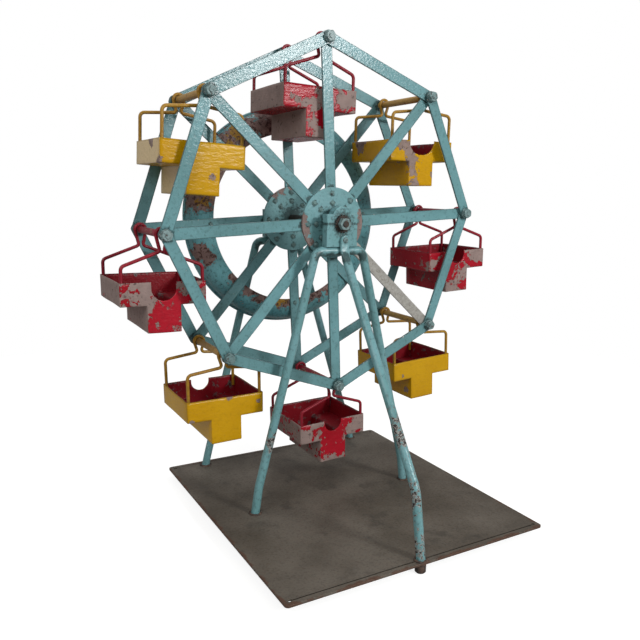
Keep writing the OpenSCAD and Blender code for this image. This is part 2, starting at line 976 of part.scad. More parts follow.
// One bail: a post at each end of the tub, sloping in to a neck and an open eye round the sleeve
module bail(post_h, neck) {
    // Direction in which a straight run meets the eye, seen from the sleeve's centre
    meet = acos(eye_r / norm([neck_x, neck])) - atan2(neck, neck_x);
    along = [-sin(meet), cos(meet)];
    end = eye_r * [cos(meet), sin(meet)] + bend_lap * along;
    for (x = [-1, 1])
        bent_rod(
            [
                [x * post_x, -hang_h - post_seat],
                [x * post_x, -hang_h + post_h],
                [x * neck_x, -neck],
                [x * end.x, end.y]
            ],
            [0, post_bend, neck_bend, 0],
            bail_d
        );
    rotate([0, 0, meet])
        rotate_extrude(angle = 180 - 2 * meet)
            translate([eye_r, 0])
                circle(d = bail_d + bend_swell);
}

module bail_pair(i) {
    color(is_red(i) ? red_paint : yellow_paint)
        at_hanger(i)
            for (y = [-1, 1])
                translate([0, y * bail_y, 0])
                    rotate([90, 0, 0])
                        bail(is_red(i) ? red_post_h : yellow_post_h, is_red(i) ? red_neck : yellow_neck);
}

// Spacer sleeve that turns on the corner bolt and carries the bails
module sleeve(i) {
    color(sleeve_paint)
        at_corner(i)
            difference() {
                lying(sleeve_d, -spoke_in + end_play, spoke_in - end_play);
                lying(bolt_d + 2 * run_fit, -spoke_in, spoke_in);
            }
}

base_plate();
feet();
foot_welds();
front_frame_rod();
front_strut();
back_frame_rod();
front_bearing();
front_bearing_cap();
back_bearing();
back_bearing_cap();
cap_screws();
strut_screw();
axle();
axle_nuts();
axle_washers();
axle_spacers();
front_hub_disc();
back_hub_disc();
front_hub_rivets();
back_hub_rivets();
front_spokes();
bare_front_spoke();
back_spokes();
front_rim_bars();
back_rim_bars();
corner_bolts();
corner_nuts();
corner_washers();
belt_ring();
ring_bolts();
for (i = [1 : cars]) {
    tub(i);
    bail_pair(i);
    sleeve(i);
}
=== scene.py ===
# Hand-made toy ferris wheel: bent rod, flat bar and sheet steel, brushed with enamel and worn by use.
import json
import math

import bmesh
import bpy
from mathutils import Matrix, Vector, noise


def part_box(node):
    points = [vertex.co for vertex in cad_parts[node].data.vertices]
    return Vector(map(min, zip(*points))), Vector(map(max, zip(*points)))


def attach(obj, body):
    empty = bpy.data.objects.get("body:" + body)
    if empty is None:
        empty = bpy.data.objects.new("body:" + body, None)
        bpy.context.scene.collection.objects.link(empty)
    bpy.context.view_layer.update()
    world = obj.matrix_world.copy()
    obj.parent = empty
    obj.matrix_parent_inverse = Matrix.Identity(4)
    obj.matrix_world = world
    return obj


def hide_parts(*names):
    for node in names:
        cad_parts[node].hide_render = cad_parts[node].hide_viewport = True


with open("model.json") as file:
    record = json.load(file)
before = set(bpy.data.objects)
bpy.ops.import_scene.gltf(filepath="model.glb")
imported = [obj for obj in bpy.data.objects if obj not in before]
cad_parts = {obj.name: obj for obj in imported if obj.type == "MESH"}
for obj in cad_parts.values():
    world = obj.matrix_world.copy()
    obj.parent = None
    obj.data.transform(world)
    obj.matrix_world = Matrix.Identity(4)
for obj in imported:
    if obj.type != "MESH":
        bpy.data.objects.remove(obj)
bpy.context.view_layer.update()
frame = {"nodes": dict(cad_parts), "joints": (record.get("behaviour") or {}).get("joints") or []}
nodes = frame["nodes"]
pivots = {joint["name"]: Vector(joint["pos_m"]) for joint in frame["joints"]}
hub = pivots["wheel_spin"]
mm = 0.001


# Studio: a plain pale floor and sky, a small strong lamp at the front right whose glare lands on the upper left bars,
# a wide lamp from the left and a weak one above. The camera stands where the photograph was taken from, 30 degrees
# round to the left and 14 degrees up.
def linear(code):
    """Turns an sRGB hex colour to linear red, green, blue and alpha."""
    shares = [int(code[k : k + 2], 16) / 255 for k in (1, 3, 5)]
    return [c / 12.92 if c <= 0.04045 else ((c + 0.055) / 1.055) ** 2.4 for c in shares] + [1]


def add(tree, kind, inputs=None, **settings):
    """Adds a node with its settings, and fills its sockets with numbers, colours or other nodes."""
    made = tree.nodes.new("ShaderNode" + kind)
    for name, value in settings.items():
        setattr(made, name, value)
    for socket, value in (inputs or {}).items():
        if isinstance(value, bpy.types.Node):
            value = next(out for out in value.outputs if out.enabled)
        if isinstance(value, bpy.types.NodeSocket):
            tree.links.new(value, made.inputs[socket])
        else:
            made.inputs[socket].default_value = value
    return made


def put_down(bm, name):
    """Makes an object of a finished bmesh, at the origin."""
    mesh = bpy.data.meshes.new(name)
    bm.to_mesh(mesh)
    bm.free()
    made = bpy.data.objects.new(name, mesh)
    bpy.context.scene.collection.objects.link(made)
    return made


world = bpy.data.worlds.new("studio sky")
bpy.context.scene.world = world
world.use_nodes = True
sky = world.node_tree
sky.nodes.clear()
rays = add(sky, "LightPath")
# White to the camera, and a weak even light on the toy
level = add(sky, "Mix", {0: rays.outputs["Is Camera Ray"], 2: 0.3, 3: 1.0})
light = add(sky, "Background", {"Color": linear("#FFFFFF"), "Strength": level})
add(sky, "OutputWorld", {"Surface": light})

# Name, place and side in metres, and watts
for name, place, size, watts in (
    ("key lamp", (0.58, -1.36, 0.86), 0.3, 15),
    ("left lamp", (-1.2, -0.9, 1.3), 1.2, 11),
    ("top lamp", (0.2, 0.4, 1.6), 1.2, 6),
):
    lamp = bpy.data.lights.new(name, "AREA")
    lamp.size = size
    lamp.energy = watts
    held = bpy.data.objects.new(name, lamp)
    bpy.context.scene.collection.objects.link(held)
    held.location = place
    held.rotation_euler = (Vector((0, 0, 0.25)) - Vector(place)).to_track_quat("-Z", "Y").to_euler()

bm = bmesh.new()
bmesh.ops.create_grid(bm, x_segments=1, y_segments=1, size=0.9)
floor = put_down(bm, "floor")
paper = bpy.data.materials.new("white paper floor")
paper.use_nodes = True
tree = paper.node_tree
tree.nodes.clear()
# Grey to the lamps, with a glow that the camera alone sees, so that it looks white and keeps the toy's shadow
rays = add(tree, "LightPath")
matt = add(tree, "BsdfDiffuse", {"Color": linear("#B4B4B2")})
glow = add(tree, "Emission", {"Color": linear("#FFFFFF"), "Strength": 2.8})
share = add(tree, "Math", {0: rays.outputs["Is Camera Ray"], 1: 0.3}, operation="MULTIPLY")
both = add(tree, "MixShader", {0: share, 1: matt, 2: glow})
add(tree, "OutputMaterial", {"Surface": both})
floor.data.materials.append(paper)

# Angles, lens and place are fitted to the corner nuts and the plate's corners as they are seen in the photograph
azimuth, elevation, roll = (math.radians(a) for a in (-30.33, 14.02, 1.24))
back = Vector((math.sin(azimuth) * math.cos(elevation), -math.cos(azimuth) * math.cos(elevation), math.sin(elevation)))
right = (-back).cross(Vector((0, 0, 1))).normalized()
up = right.cross(-back)
turned_right = math.cos(roll) * right + math.sin(roll) * up
turned_up = math.cos(roll) * up - math.sin(roll) * right
lens = bpy.data.cameras.new("camera")
lens.lens = 37.67
lens.sensor_width = 36
lens.shift_x = -0.0129
lens.shift_y = 0.0594
lens.clip_start = 0.01
camera = bpy.data.objects.new("camera", lens)
bpy.context.scene.collection.objects.link(camera)
facing = Matrix((turned_right, turned_up, back)).transposed().to_4x4()
camera.matrix_world = Matrix.Translation(hub + Vector((-0.3651, -0.6709, 0.0328))) @ facing
bpy.context.scene.camera = camera
bpy.context.scene.view_settings.view_transform = "Standard"


# Base plate: one sheet of 2.5 mm mild steel, sheared square with small holes at its corners. It was never painted:
# years of handling left it grey-brown and dull, with long scratches, darker stains and rust along its edges.
def new_finish(name):
    """An empty material, its node tree and its Object coordinates in metres."""
    made = bpy.data.materials.new(name)
    made.use_nodes = True
    made.node_tree.nodes.clear()
    return made, made.node_tree, add(made.node_tree, "TexCoord").outputs["Object"]


def dress(names, finish, edge=0.0):
    """Gives CAD nodes a finish, and breaks their sharp edges by so many millimetres."""
    for name in names:
        part = nodes[name]
        part.data.materials.clear()
        part.data.materials.append(finish)
        if edge:
            part.modifiers.new("joined", "WELD").merge_threshold = 0.00001
            broken = part.modifiers.new("broken edge", "BEVEL")
            broken.width = edge * mm
            broken.segments = 2
            broken.limit_method = "ANGLE"
            broken.angle_limit = math.radians(40)


# Clouds 60 mm wide, stains 24 mm, pits 2.4 mm, scratches 33 by 2 mm and blooms of rust 20 mm, each written as so many
# to the metre. Dull, with a little shine left in the scratches.
sheared_steel, tree, at = new_finish("bare mild steel sheet, oxidised grey-brown")
blotch = add(tree, "TexNoise", {"Vector": at, "Scale": 16, "Detail": 4})
tone = add(tree, "MapRange", {0: blotch, 1: 0.38, 2: 0.62})
colour = add(tree, "Mix", {0: tone, 6: linear("#6F675D"), 7: linear("#5A5248")}, data_type="RGBA")
stain = add(tree, "TexNoise", {"Vector": at, "Scale": 42, "Detail": 5, "Roughness": 0.6})
spot = add(tree, "MapRange", {0: stain, 1: 0.55, 2: 0.7, 4: 0.55})
colour = add(tree, "Mix", {0: spot, 6: colour, 7: linear("#3F3A34")}, data_type="RGBA")
grain = add(tree, "TexNoise", {"Vector": at, "Scale": 420, "Detail": 5, "Roughness": 0.7})
pitted = add(tree, "MapRange", {0: grain, 1: 0.5, 2: 0.66, 4: 0.4})
colour = add(tree, "Mix", {0: pitted, 6: colour, 7: linear("#3A3530")}, data_type="RGBA")
drawn = add(tree, "Mapping", {"Vector": at, "Rotation": (0, 0, 0.45), "Scale": (1, 16, 1)})
scratch = add(tree, "TexNoise", {"Vector": drawn, "Scale": 30, "Detail": 8, "Roughness": 0.75})
bright = add(tree, "MapRange", {0: scratch, 1: 0.6, 2: 0.72, 4: 0.35})
colour = add(tree, "Mix", {0: bright, 6: colour, 7: linear("#8D887D")}, data_type="RGBA")
low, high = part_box("base_plate")
middle, half = (low + high) / 2, (high - low) / 2
rust_band = 7 * mm
apart = add(tree, "VectorMath", {0: at, 1: middle}, operation="SUBTRACT")
apart = add(tree, "VectorMath", {0: apart}, operation="ABSOLUTE")
sides = add(tree, "SeparateXYZ", {0: apart})
edge_x = add(tree, "MapRange", {0: sides.outputs["X"], 1: half.x - rust_band, 2: half.x})
edge_y = add(tree, "MapRange", {0: sides.outputs["Y"], 1: half.y - rust_band, 2: half.y})
edge = add(tree, "Math", {0: edge_x, 1: edge_y}, operation="MAXIMUM")
rusty = add(tree, "TexNoise", {"Vector": at, "Scale": 50, "Detail": 6, "Roughness": 0.7})
rusty = add(tree, "Math", {0: edge, 1: 0.3, 2: rusty}, operation="MULTIPLY_ADD")
rim = add(tree, "MapRange", {0: rusty, 1: 0.7, 2: 0.78, 4: 0.75})
colour = add(tree, "Mix", {0: rim, 6: colour, 7: linear("#5A3A2A")}, data_type="RGBA")
rough = add(tree, "MapRange", {0: grain, 1: 0.3, 2: 0.7, 3: 0.5, 4: 0.7})
dents = add(tree, "Bump", {"Height": scratch, "Distance": 0.0001})
steel = add(tree, "BsdfPrincipled", {"Base Color": colour, "Roughness": rough, "Normal": dents, "Metallic": 0.3})
add(tree, "OutputMaterial", {"Surface": steel})
dress(["base_plate"], sheared_steel, edge=0.35)


# Feet and their welds: stubs of 10.8 mm round bar under the plate, and a fat bead of weld round each leg where it
# meets the plate. The paint never held on either, and both have rusted dark brown.
# Rust in 6 mm patches, rough and quite without shine, and blacker in its 2 mm pits
rusted, tree, at = new_finish("rusted mild steel")
patch = add(tree, "TexNoise", {"Vector": at, "Scale": 170, "Detail": 5, "Roughness": 0.6})
patch = add(tree, "MapRange", {0: patch, 1: 0.4, 2: 0.62})
colour = add(tree, "Mix", {0: patch, 6: linear("#3B322E"), 7: linear("#5F4A3E")}, data_type="RGBA")
grain = add(tree, "TexNoise", {"Vector": at, "Scale": 500, "Detail": 6, "Roughness": 0.7})
dark = add(tree, "MapRange", {0: grain, 1: 0.52, 2: 0.62, 4: 0.6})
colour = add(tree, "Mix", {0: dark, 6: colour, 7: linear("#2A1B16")}, data_type="RGBA")
scale = add(tree, "Bump", {"Height": grain, "Distance": 0.0003})
rust = add(tree, "BsdfPrincipled", {"Base Color": colour, "Roughness": 0.8, "Normal": scale})
add(tree, "OutputMaterial", {"Surface": rust})
dress(["feet"], rusted, edge=0.2)

plate_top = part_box("base_plate")[1].z
front_y, back_y = hub.y - 65.25 * mm, hub.y + 83.1 * mm
front_side, back_left, back_right = 97.5 * mm, 99.5 * mm, 114 * mm
strut_x, strut_foot_y = hub.x + 2.3 * mm, hub.y - 225 * mm
foot_places = [
    Vector((hub.x - front_side, front_y, plate_top)),
    Vector((hub.x + front_side, front_y, plate_top)),
    Vector((hub.x - back_left, back_y, plate_top)),
    Vector((hub.x + back_right, back_y, plate_top)),
    Vector((strut_x, strut_foot_y, plate_top)),
]
bead_r, round_leg_r = 1.5 * mm, 5.7 * mm
lump_h, bead_sunk, plate_edge = 0.7 * mm, 0.6 * mm, 5.6 * mm


def add_part(bm, part):
    """Adds a finished part to the piece it belongs to."""
    mesh = bpy.data.meshes.new("part")
    part.to_mesh(mesh)
    part.free()
    bm.from_mesh(mesh)
    bpy.data.meshes.remove(mesh)


bm = bmesh.new()
for number, place in enumerate(foot_places):
    bead = bmesh.new()
    upright = Matrix.Translation((round_leg_r, 0, 0)) @ Matrix.Rotation(math.pi / 2, 4, "X")
    bmesh.ops.create_circle(bead, segments=10, radius=bead_r, matrix=upright)
    section = bead.verts[:] + bead.edges[:]
    bmesh.ops.spin(
        bead, geom=section, cent=(0, 0, 0), axis=(0, 0, 1), dvec=(0, 0, 0), angle=2 * math.pi, steps=48, use_merge=True,
    )
    for v in bead.verts:
        lump = noise.noise(v.co * 380 + Vector((7 * number, 0, 0)))
        out = Vector((v.co.x, v.co.y, 0)).normalized()
        v.co += out * lump * lump_h
        v.co.z = max(v.co.z * (1 + 0.35 * lump), -bead_sunk)
        if place is foot_places[-1]:
            v.co.y = max(v.co.y, -plate_edge)
    bmesh.ops.translate(bead, verts=bead.verts, vec=place)
    add_part(bm, bead)
bmesh.ops.recalc_face_normals(bm, faces=bm.faces)
for face in bm.faces:
    face.smooth = True
beads = put_down(bm, "weld_beads")
beads.data.materials.append(rusted)
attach(beads, "stand")
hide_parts("foot_welds")


# A-frames and strut: 9.2 mm round bar, bent cold round a former, its feet welded to the plate. Brushed with the
# same blue-green enamel as the wheel, which has flaked to dark rust, most of all low on the strut.
def rod_end(bm, at, along, d, sides):
    """A ring of edges round the first end of a rod."""
    facing = Matrix.Translation(at) @ along.to_track_quat("Z", "Y").to_matrix().to_4x4()
    made = bmesh.ops.create_circle(bm, segments=sides, radius=d / 2, matrix=facing)
    return list(dict.fromkeys(e for v in made["verts"] for e in v.link_edges))


def corners(ring):
    """The ring's vertices, always in the same order."""
    return list(dict.fromkeys(v for e in ring for v in e.verts))


def run_to(bm, ring, move):
    """Draws the rod straight on."""
    made = bmesh.ops.extrude_edge_only(bm, edges=ring)["geom"]
    bmesh.ops.translate(bm, verts=[v for v in made if isinstance(v, bmesh.types.BMVert)], vec=move)
    return [e for e in made if isinstance(e, bmesh.types.BMEdge)]


def bend_round(bm, ring, centre, axis, angle, steps):
    """Bends the rod round a centre."""
    turned = corners(ring) + ring
    made = bmesh.ops.spin(bm, geom=turned, cent=centre, axis=axis, dvec=(0, 0, 0), angle=angle, steps=steps)
    return [e for e in made["geom_last"] if isinstance(e, bmesh.types.BMEdge)]


def ring_middle(ring):
    """The point on the rod's centre line where the ring stands."""
    found = corners(ring)
    return sum((v.co for v in found), Vector()) / len(found)


def follow(bm, ring, path, radii, step):
    """Draws the rod along a path, bent at its corners to the radii, in steps of so many degrees."""
    for k in range(1, len(path) - 1):
        before, after = (path[k] - path[k - 1]).normalized(), (path[k + 1] - path[k]).normalized()
        angle = before.angle(after)
        trim = radii[k] * math.tan(angle / 2)
        ring = run_to(bm, ring, path[k] - before * trim - ring_middle(ring))
        axis = before.cross(after).normalized()
        centre = ring_middle(ring) + axis.cross(before) * radii[k]
        ring = bend_round(bm, ring, centre, axis, angle, max(3, round(math.degrees(angle) / step)))
    return run_to(bm, ring, path[-1] - ring_middle(ring))


def close_rod(bm, first, last):
    """Closes the rod's ends, and shades it smooth but for their sharp edges."""
    bmesh.ops.holes_fill(bm, edges=first)
    bmesh.ops.holes_fill(bm, edges=last)
    bmesh.ops.recalc_face_normals(bm, faces=bm.faces)
    for face in bm.faces:
        face.smooth = True
    for e in bm.edges:
        e.smooth = not (len(e.link_faces) == 2 and e.calc_face_angle() > math.radians(50))


def near(tree, at, places):
    """1 at the listed places (x, y, z, reach), falling to 0 at their reach."""
    found = 0.0
    for x, y, z, reach in places:
        away = add(tree, "VectorMath", {0: at, 1: (x, y, z)}, operation="DISTANCE")
        close = add(tree, "MapRange", {0: away, 1: reach, 2: 0.0}, interpolation_type="SMOOTHSTEP")
        found = add(tree, "Math", {0: close, 1: found}, operation="MAXIMUM")
    return found


def enamel(
    name, top, pale, deep, under, bare, wear, size, bare_share=0.45, chipped=(), kept=(), pull=0.2, gloss=0.36,
    grime=0.4, stroke=(1, 1, 1), shade_and_soot=(), shine=0.35, ridge=0.5, older=None, older_places=(), ends=None, ends_worn=0.0,
):
    """Brushed enamel over primer on steel: it shines where it is whole, and is dull where it has chipped.

    top and pale are its two tones. deep is the dirt in its pits, the darker band along its edges and the painted shade
    laid at the places it is given (shade in creases and under parts, with some soot there too). under is the primer
    and bare the steel below. wear is how much of it has chipped, size how wide the chips are. chipped and kept are
    places where it has gone or stayed, and pull says how strongly they count. An older coat shows in its own places.
    Clouds of colour are 60 mm wide and stains on the primer 12 mm. Pits 3.4 mm apart and bristle marks 2.6 mm apart
    are drawn coarser than the real ones, so that they show.
    """
    made, tree, at = new_finish(name)
    tone = add(tree, "TexNoise", {"Vector": at, "Scale": 17, "Detail": 4})
    tone = add(tree, "MapRange", {0: tone, 1: 0.36, 2: 0.64})
    colour = add(tree, "Mix", {0: tone, 6: linear(top), 7: linear(pale)}, data_type="RGBA")
    end = add(tree, "Attribute", attribute_name="end").outputs["Fac"]
    # An ends colour, given only for tub 8, is a painted highlight of the light falling on its left ends
    if ends:
        colour = add(tree, "Mix", {0: end, 6: colour, 7: linear(ends)}, data_type="RGBA")
    pits = add(tree, "TexNoise", {"Vector": at, "Scale": 290, "Detail": 5, "Roughness": 0.65})
    dirt_and_shade = add(tree, "MapRange", {0: pits, 1: 0.52, 2: 0.7, 4: grime})
    rim = add(tree, "Attribute", attribute_name="edge").outputs["Fac"]
    lined = add(tree, "MapRange", {0: rim, 1: 0.4, 2: 1.0, 4: 0.55})
    dirt_and_shade = add(tree, "Math", {0: dirt_and_shade, 1: lined}, operation="MAXIMUM")
    # Painted shade, with some soot, darkens the coat towards the places it is given, broken up by the pits
    if shade_and_soot:
        flat = add(tree, "Mapping", {"Vector": at, "Scale": (1, 0, 1)})
        caked_and_shaded = add(tree, "Math", {0: near(tree, flat, shade_and_soot), 1: 0.6, 2: pits}, operation="MULTIPLY_ADD")
        caked_and_shaded = add(tree, "MapRange", {0: caked_and_shaded, 1: 0.7, 2: 0.92, 4: 0.85})
        dirt_and_shade = add(tree, "Math", {0: dirt_and_shade, 1: caked_and_shaded}, operation="MAXIMUM")
    colour = add(tree, "Mix", {0: dirt_and_shade, 6: colour, 7: linear(deep)}, data_type="RGBA")
    chips = add(tree, "TexNoise", {"Vector": at, "Scale": 1 / size, "Detail": 7, "Roughness": 0.69, "Distortion": 0.25})
    level = add(tree, "Math", {0: rim, 1: 0.05, 2: chips}, operation="MULTIPLY_ADD")
    for places, strength in ((chipped, pull), (kept, -pull)):
        if places:
            level = add(tree, "Math", {0: near(tree, at, places), 1: strength, 2: level}, operation="MULTIPLY_ADD")
    if ends_worn:
        level = add(tree, "Math", {0: end, 1: ends_worn, 2: level}, operation="MULTIPLY_ADD")
    line = 0.73 - 0.36 * wear
    gone = add(tree, "MapRange", {0: level, 1: line, 2: line + 0.012})
    tint = add(tree, "TexNoise", {"Vector": at, "Scale": 80, "Detail": 5, "Roughness": 0.7})
    tint = add(tree, "MapRange", {0: tint, 1: 0.4, 2: 0.62, 4: 0.3})
    ground = add(tree, "Mix", {0: tint, 6: linear(under), 7: linear(bare)}, data_type="RGBA")
    if older:
        torn = add(tree, "TexNoise", {"Vector": at, "Scale": 1.25 / size, "Detail": 5, "Roughness": 0.6})
        left = add(tree, "Math", {0: near(tree, at, older_places), 1: 0.5, 2: torn}, operation="MULTIPLY_ADD")
        shown = add(tree, "MapRange", {0: left, 1: 0.72, 2: 0.74})
        ground = add(tree, "Mix", {0: shown, 6: ground, 7: linear(older)}, data_type="RGBA")
        torn = add(tree, "MapRange", {0: left, 1: 0.78, 2: 0.8})
        gone = add(tree, "Math", {0: gone, 1: torn}, operation="MAXIMUM")
    colour = add(tree, "Mix", {0: gone, 6: colour, 7: ground}, data_type="RGBA")
    deeper = add(tree, "TexNoise", {"Vector": at, "Scale": 2 / size, "Detail": 6, "Roughness": 0.7})
    deeper = add(tree, "MapRange", {0: deeper, 1: 0.62 - 0.25 * bare_share, 2: 0.66 - 0.25 * bare_share})
    through = add(tree, "MapRange", {0: level, 1: line + 0.04, 2: line + 0.06})
    through = add(tree, "Math", {0: through, 1: deeper}, operation="MULTIPLY")
    colour = add(tree, "Mix", {0: through, 6: colour, 7: linear(bare)}, data_type="RGBA")
    rough = add(tree, "MapRange", {0: gone, 3: gloss, 4: 0.74})
    drawn = add(tree, "Mapping", {"Vector": at, "Scale": stroke})
    brush = add(tree, "TexNoise", {"Vector": drawn, "Scale": 380, "Detail": 3, "Roughness": 0.55})
    brush = add(tree, "Math", {0: brush, 1: 0.8}, operation="MULTIPLY")
    height = add(tree, "Math", {0: gone, 1: -0.5, 2: brush}, operation="MULTIPLY_ADD")
    relief = add(tree, "Bump", {"Height": height, "Distance": ridge * mm})
    look = {"Base Color": colour, "Roughness": rough, "Normal": relief, "Specular IOR Level": shine}
    coat = add(tree, "BsdfPrincipled", look)
    add(tree, "OutputMaterial", {"Surface": coat})
    return made


# Painted shade, with some soot, lies along the foot of each bearing block and in the split under its cap: place and
# reach
block_foot = [(hub.x + x * mm, 0, hub.z - 34 * mm, 12 * mm) for x in (-26, -13, 0, 13, 26)]
cap_joint = [(hub.x + x * mm, 0, hub.z, 3 * mm) for x in range(-24, 25, 3)]
blue_green = dict(top="#629193", pale="#73A0A5", deep="#2C403F", under="#A9A6A0", bare="#2C2523")
rod_paint = enamel(
    "blue-green enamel on round bar", **blue_green, wear=0.2, size=0.004, bare_share=0.7, pull=0.22, gloss=0.3,
    # Painted shade where the rods meet the foot of the bearing block
    shine=0.5, grime=0.6, shade_and_soot=block_foot,
    chipped=[
        (strut_x, hub.y - 220 * mm, 0.025, 0.03),
        (strut_x, hub.y - 205 * mm, 0.07, 0.04),
        (strut_x, hub.y - 183 * mm, 0.129, 0.04),
        (hub.x - 75 * mm, front_y, 0.09, 0.03),
    ],
)

rod_d = 9.2 * mm
knee_bend, top_bend = 40 * mm, 9 * mm
top_half, top_drop = 28 * mm, 28 * mm
rod_sunk = 1.2 * mm


def a_frame(y, left, right, knee_share, knee_h):
    """The path of a frame with its feet left and right of the axle, and its knees at a share of that and a height."""
    flare = 1 + (1 - knee_share) / knee_h * rod_sunk
    top_h = hub.z - plate_top - top_drop
    path = [
        (-left * flare, -rod_sunk), (-left * knee_share, knee_h), (-top_half, top_h),
        (top_half, top_h), (right * knee_share, knee_h), (right * flare, -rod_sunk),
    ]
    return [Vector((hub.x + x, y, plate_top + z)) for x, z in path]


for name, stands_for, path in (
    ("front_a_frame", "front_frame_rod", a_frame(front_y, front_side, front_side, 0.953, 30 * mm)),
    ("back_a_frame", "back_frame_rod", a_frame(back_y, back_left, back_right, 0.967, 14 * mm)),
):
    bm = bmesh.new()
    first = rod_end(bm, path[0], (path[1] - path[0]).normalized(), rod_d, 20)
    last = follow(bm, first, path, [0, knee_bend, top_bend, top_bend, knee_bend, 0], 6)
    close_rod(bm, first, last)
    piece = put_down(bm, name)
    piece.data.materials.append(rod_paint)
    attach(piece, "stand")
    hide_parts(stands_for)

# Strut, from the plate's front edge up to its end, hammered flat against the bearing and rounded at the top
block_d, flat_t, flat_w = 9.5 * mm, 3.4 * mm, 10.4 * mm
flat_y = front_y - (block_d + flat_t) / 2
flat_low = hub.z - top_drop
round_z = hub.z - 11.4 * mm - flat_w / 2
bm = bmesh.new()
low = Vector((strut_x, strut_foot_y - 0.24 * mm, plate_top - rod_sunk))
knee = Vector((strut_x, strut_foot_y + 13 * mm, plate_top + 65 * mm))
neck = Vector((strut_x, flat_y - 4.6 * mm, flat_low - 9 * mm))
first = rod_end(bm, low, (knee - low).normalized(), rod_d, 24)
ring = follow(bm, first, [low, knee, neck], [0, knee_bend, 0], 4.5)
along = (neck - knee).normalized()
across = Vector((0, -along.z, along.y))
# Where each corner of the ring stands round the rod, then the rings' heights, depths, widths and thicknesses
around = {v: math.atan2((v.co - neck).dot(across), v.co.x - neck.x) for v in corners(ring)}
for z, y, wide, thick in (
    (flat_low - 5 * mm, flat_y - 2.6 * mm, 9.5 * mm, 6.6 * mm),
    (flat_low - 1.5 * mm, flat_y - 0.7 * mm, 10.1 * mm, 4.4 * mm),
    (flat_low + 1 * mm, flat_y, flat_w, flat_t),
    (round_z, flat_y, flat_w, flat_t),
    (round_z + 2.4 * mm, flat_y, 9.2 * mm, flat_t),
    (round_z + 4.0 * mm, flat_y, 6.6 * mm, flat_t),
    (round_z + 5.0 * mm, flat_y, 2.8 * mm, 3.2 * mm),
):
    ring = run_to(bm, ring, (0, 0, 0))
    around = {v: around[min(around, key=lambda old: (old.co - v.co).length)] for v in corners(ring)}
    square = 0.5 if thick < 5 * mm else 1.0
    for v, turned in around.items():
        c, s = math.cos(turned), math.sin(turned)
        v.co.x = strut_x + math.copysign(abs(c) ** square, c) * wide / 2
        v.co.y = y - math.copysign(abs(s) ** square, s) * thick / 2
        v.co.z = z
close_rod(bm, first, ring)
strut = put_down(bm, "raking_strut")
strut.data.materials.append(rod_paint)
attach(strut, "stand")
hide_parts("front_strut")


# Bearings: split blocks of flat bar, bored for the axle, with a round boss on the cap and a sunk slotted screw at
# each side. The paint bridges the split and has worn off the arrises.
block_paint = enamel(
    "blue-green enamel on the bearing blocks", **blue_green, wear=0.2, size=0.004, bare_share=0.8, grime=0.6,
    # Painted shade along the blocks' feet, in the split under the cap and round the boss and nut
    shade_and_soot=block_foot + cap_joint + [(hub.x, 0, hub.z, 26 * mm)],
)
dress(["front_bearing", "front_bearing_cap", "back_bearing", "back_bearing_cap"], block_paint, edge=0.4)
screw_paint = enamel(
    "blue-green enamel on screws and nuts", top="#647F7F", pale="#859B9B", deep="#1A1E1D", under="#6E6460",
    bare="#2E2622", wear=0.4, size=0.003, grime=0.8,
)
dress(["cap_screws", "strut_screw"], screw_paint, edge=0.15)


# Axle: 9.5 mm bright bar with threaded ends, now nearly black between the discs. Hex nuts over toothed washers
# hold it, and plain tube keeps the wheel between the bearings.
# Nearly black in 12 mm clouds with a dull shine, and browned in 2 mm specks where rust has started
oiled, tree, at = new_finish("blackened steel bar")
patch = add(tree, "TexNoise", {"Vector": at, "Scale": 80, "Detail": 4})
patch = add(tree, "MapRange", {0: patch, 1: 0.4, 2: 0.6})
colour = add(tree, "Mix", {0: patch, 6: linear("#2A2725"), 7: linear("#403934")}, data_type="RGBA")
grain = add(tree, "TexNoise", {"Vector": at, "Scale": 500, "Detail": 5, "Roughness": 0.65})
brown = add(tree, "MapRange", {0: grain, 1: 0.55, 2: 0.68, 4: 0.5})
colour = add(tree, "Mix", {0: brown, 6: colour, 7: linear("#6B4A38")}, data_type="RGBA")
marks = add(tree, "Bump", {"Height": grain, "Distance": 0.0001})
bar = add(tree, "BsdfPrincipled", {"Base Color": colour, "Roughness": 0.5, "Normal": marks, "Metallic": 0.6})
add(tree, "OutputMaterial", {"Surface": bar})
dress(["axle"], oiled, edge=0.3)
dress(["axle_nuts"], screw_paint, edge=0.2)
dress(["axle_washers", "axle_spacers"], oiled, edge=0.2)


# Hub discs: 2.6 mm plate cut round by hand and riveted through every spoke with two rows of rivets. Painted shade
# darkens the disc round each rivet's foot, and the bearing block's shadow is painted on its middle. Hands turning the
# wheel rubbed crescents of primer bare.
def round_hub(radius, angle):
    """A place on the wheel, without its depth, at an angle clockwise from the top."""
    return hub.x + radius * mm * math.sin(angle), 0, hub.z + radius * mm * math.cos(angle)


def turn(i):
    """How far round corner i stands, clockwise from the top. Corner 1 has stopped 3.3 degrees before it."""
    return math.radians(-3.3 + 45 * (i - 1))


# Crescents of primer, right and left on the front disc and upper left on the back one: place and reach, in mm
crescents = [
    (37, -51, 10, 12), (37, -51, 0, 15), (36, -51, -10, 15), (32, -51, -20, 13),
    (-37, -51, 4, 11), (-36, -51, -8, 14), (-31, -51, -20, 13),
    (-25, 48, 30, 16), (-14, 48, 34, 16), (-3, 48, 37, 12),
]
rivet_rows = 30.3, 20.2
hub_paint = enamel(
    "blue-green enamel on the hub discs", **{**blue_green, "under": "#8E7A74"}, wear=0.1, size=0.007, bare_share=0.1,
    pull=0.42,
    chipped=[(hub.x + x * mm, hub.y + y * mm, hub.z + z * mm, reach * mm) for x, y, z, reach in crescents],
    # Painted shade round each rivet's foot, and the bearing block's painted shadow round the disc's middle
    shade_and_soot=[(*round_hub(radius, turn(i)), 6.5 * mm) for radius in rivet_rows for i in range(1, 9)]
    + [(*round_hub(0, 0), 31 * mm)],
)
dress(["front_hub_disc", "back_hub_disc"], hub_paint, edge=0.35)
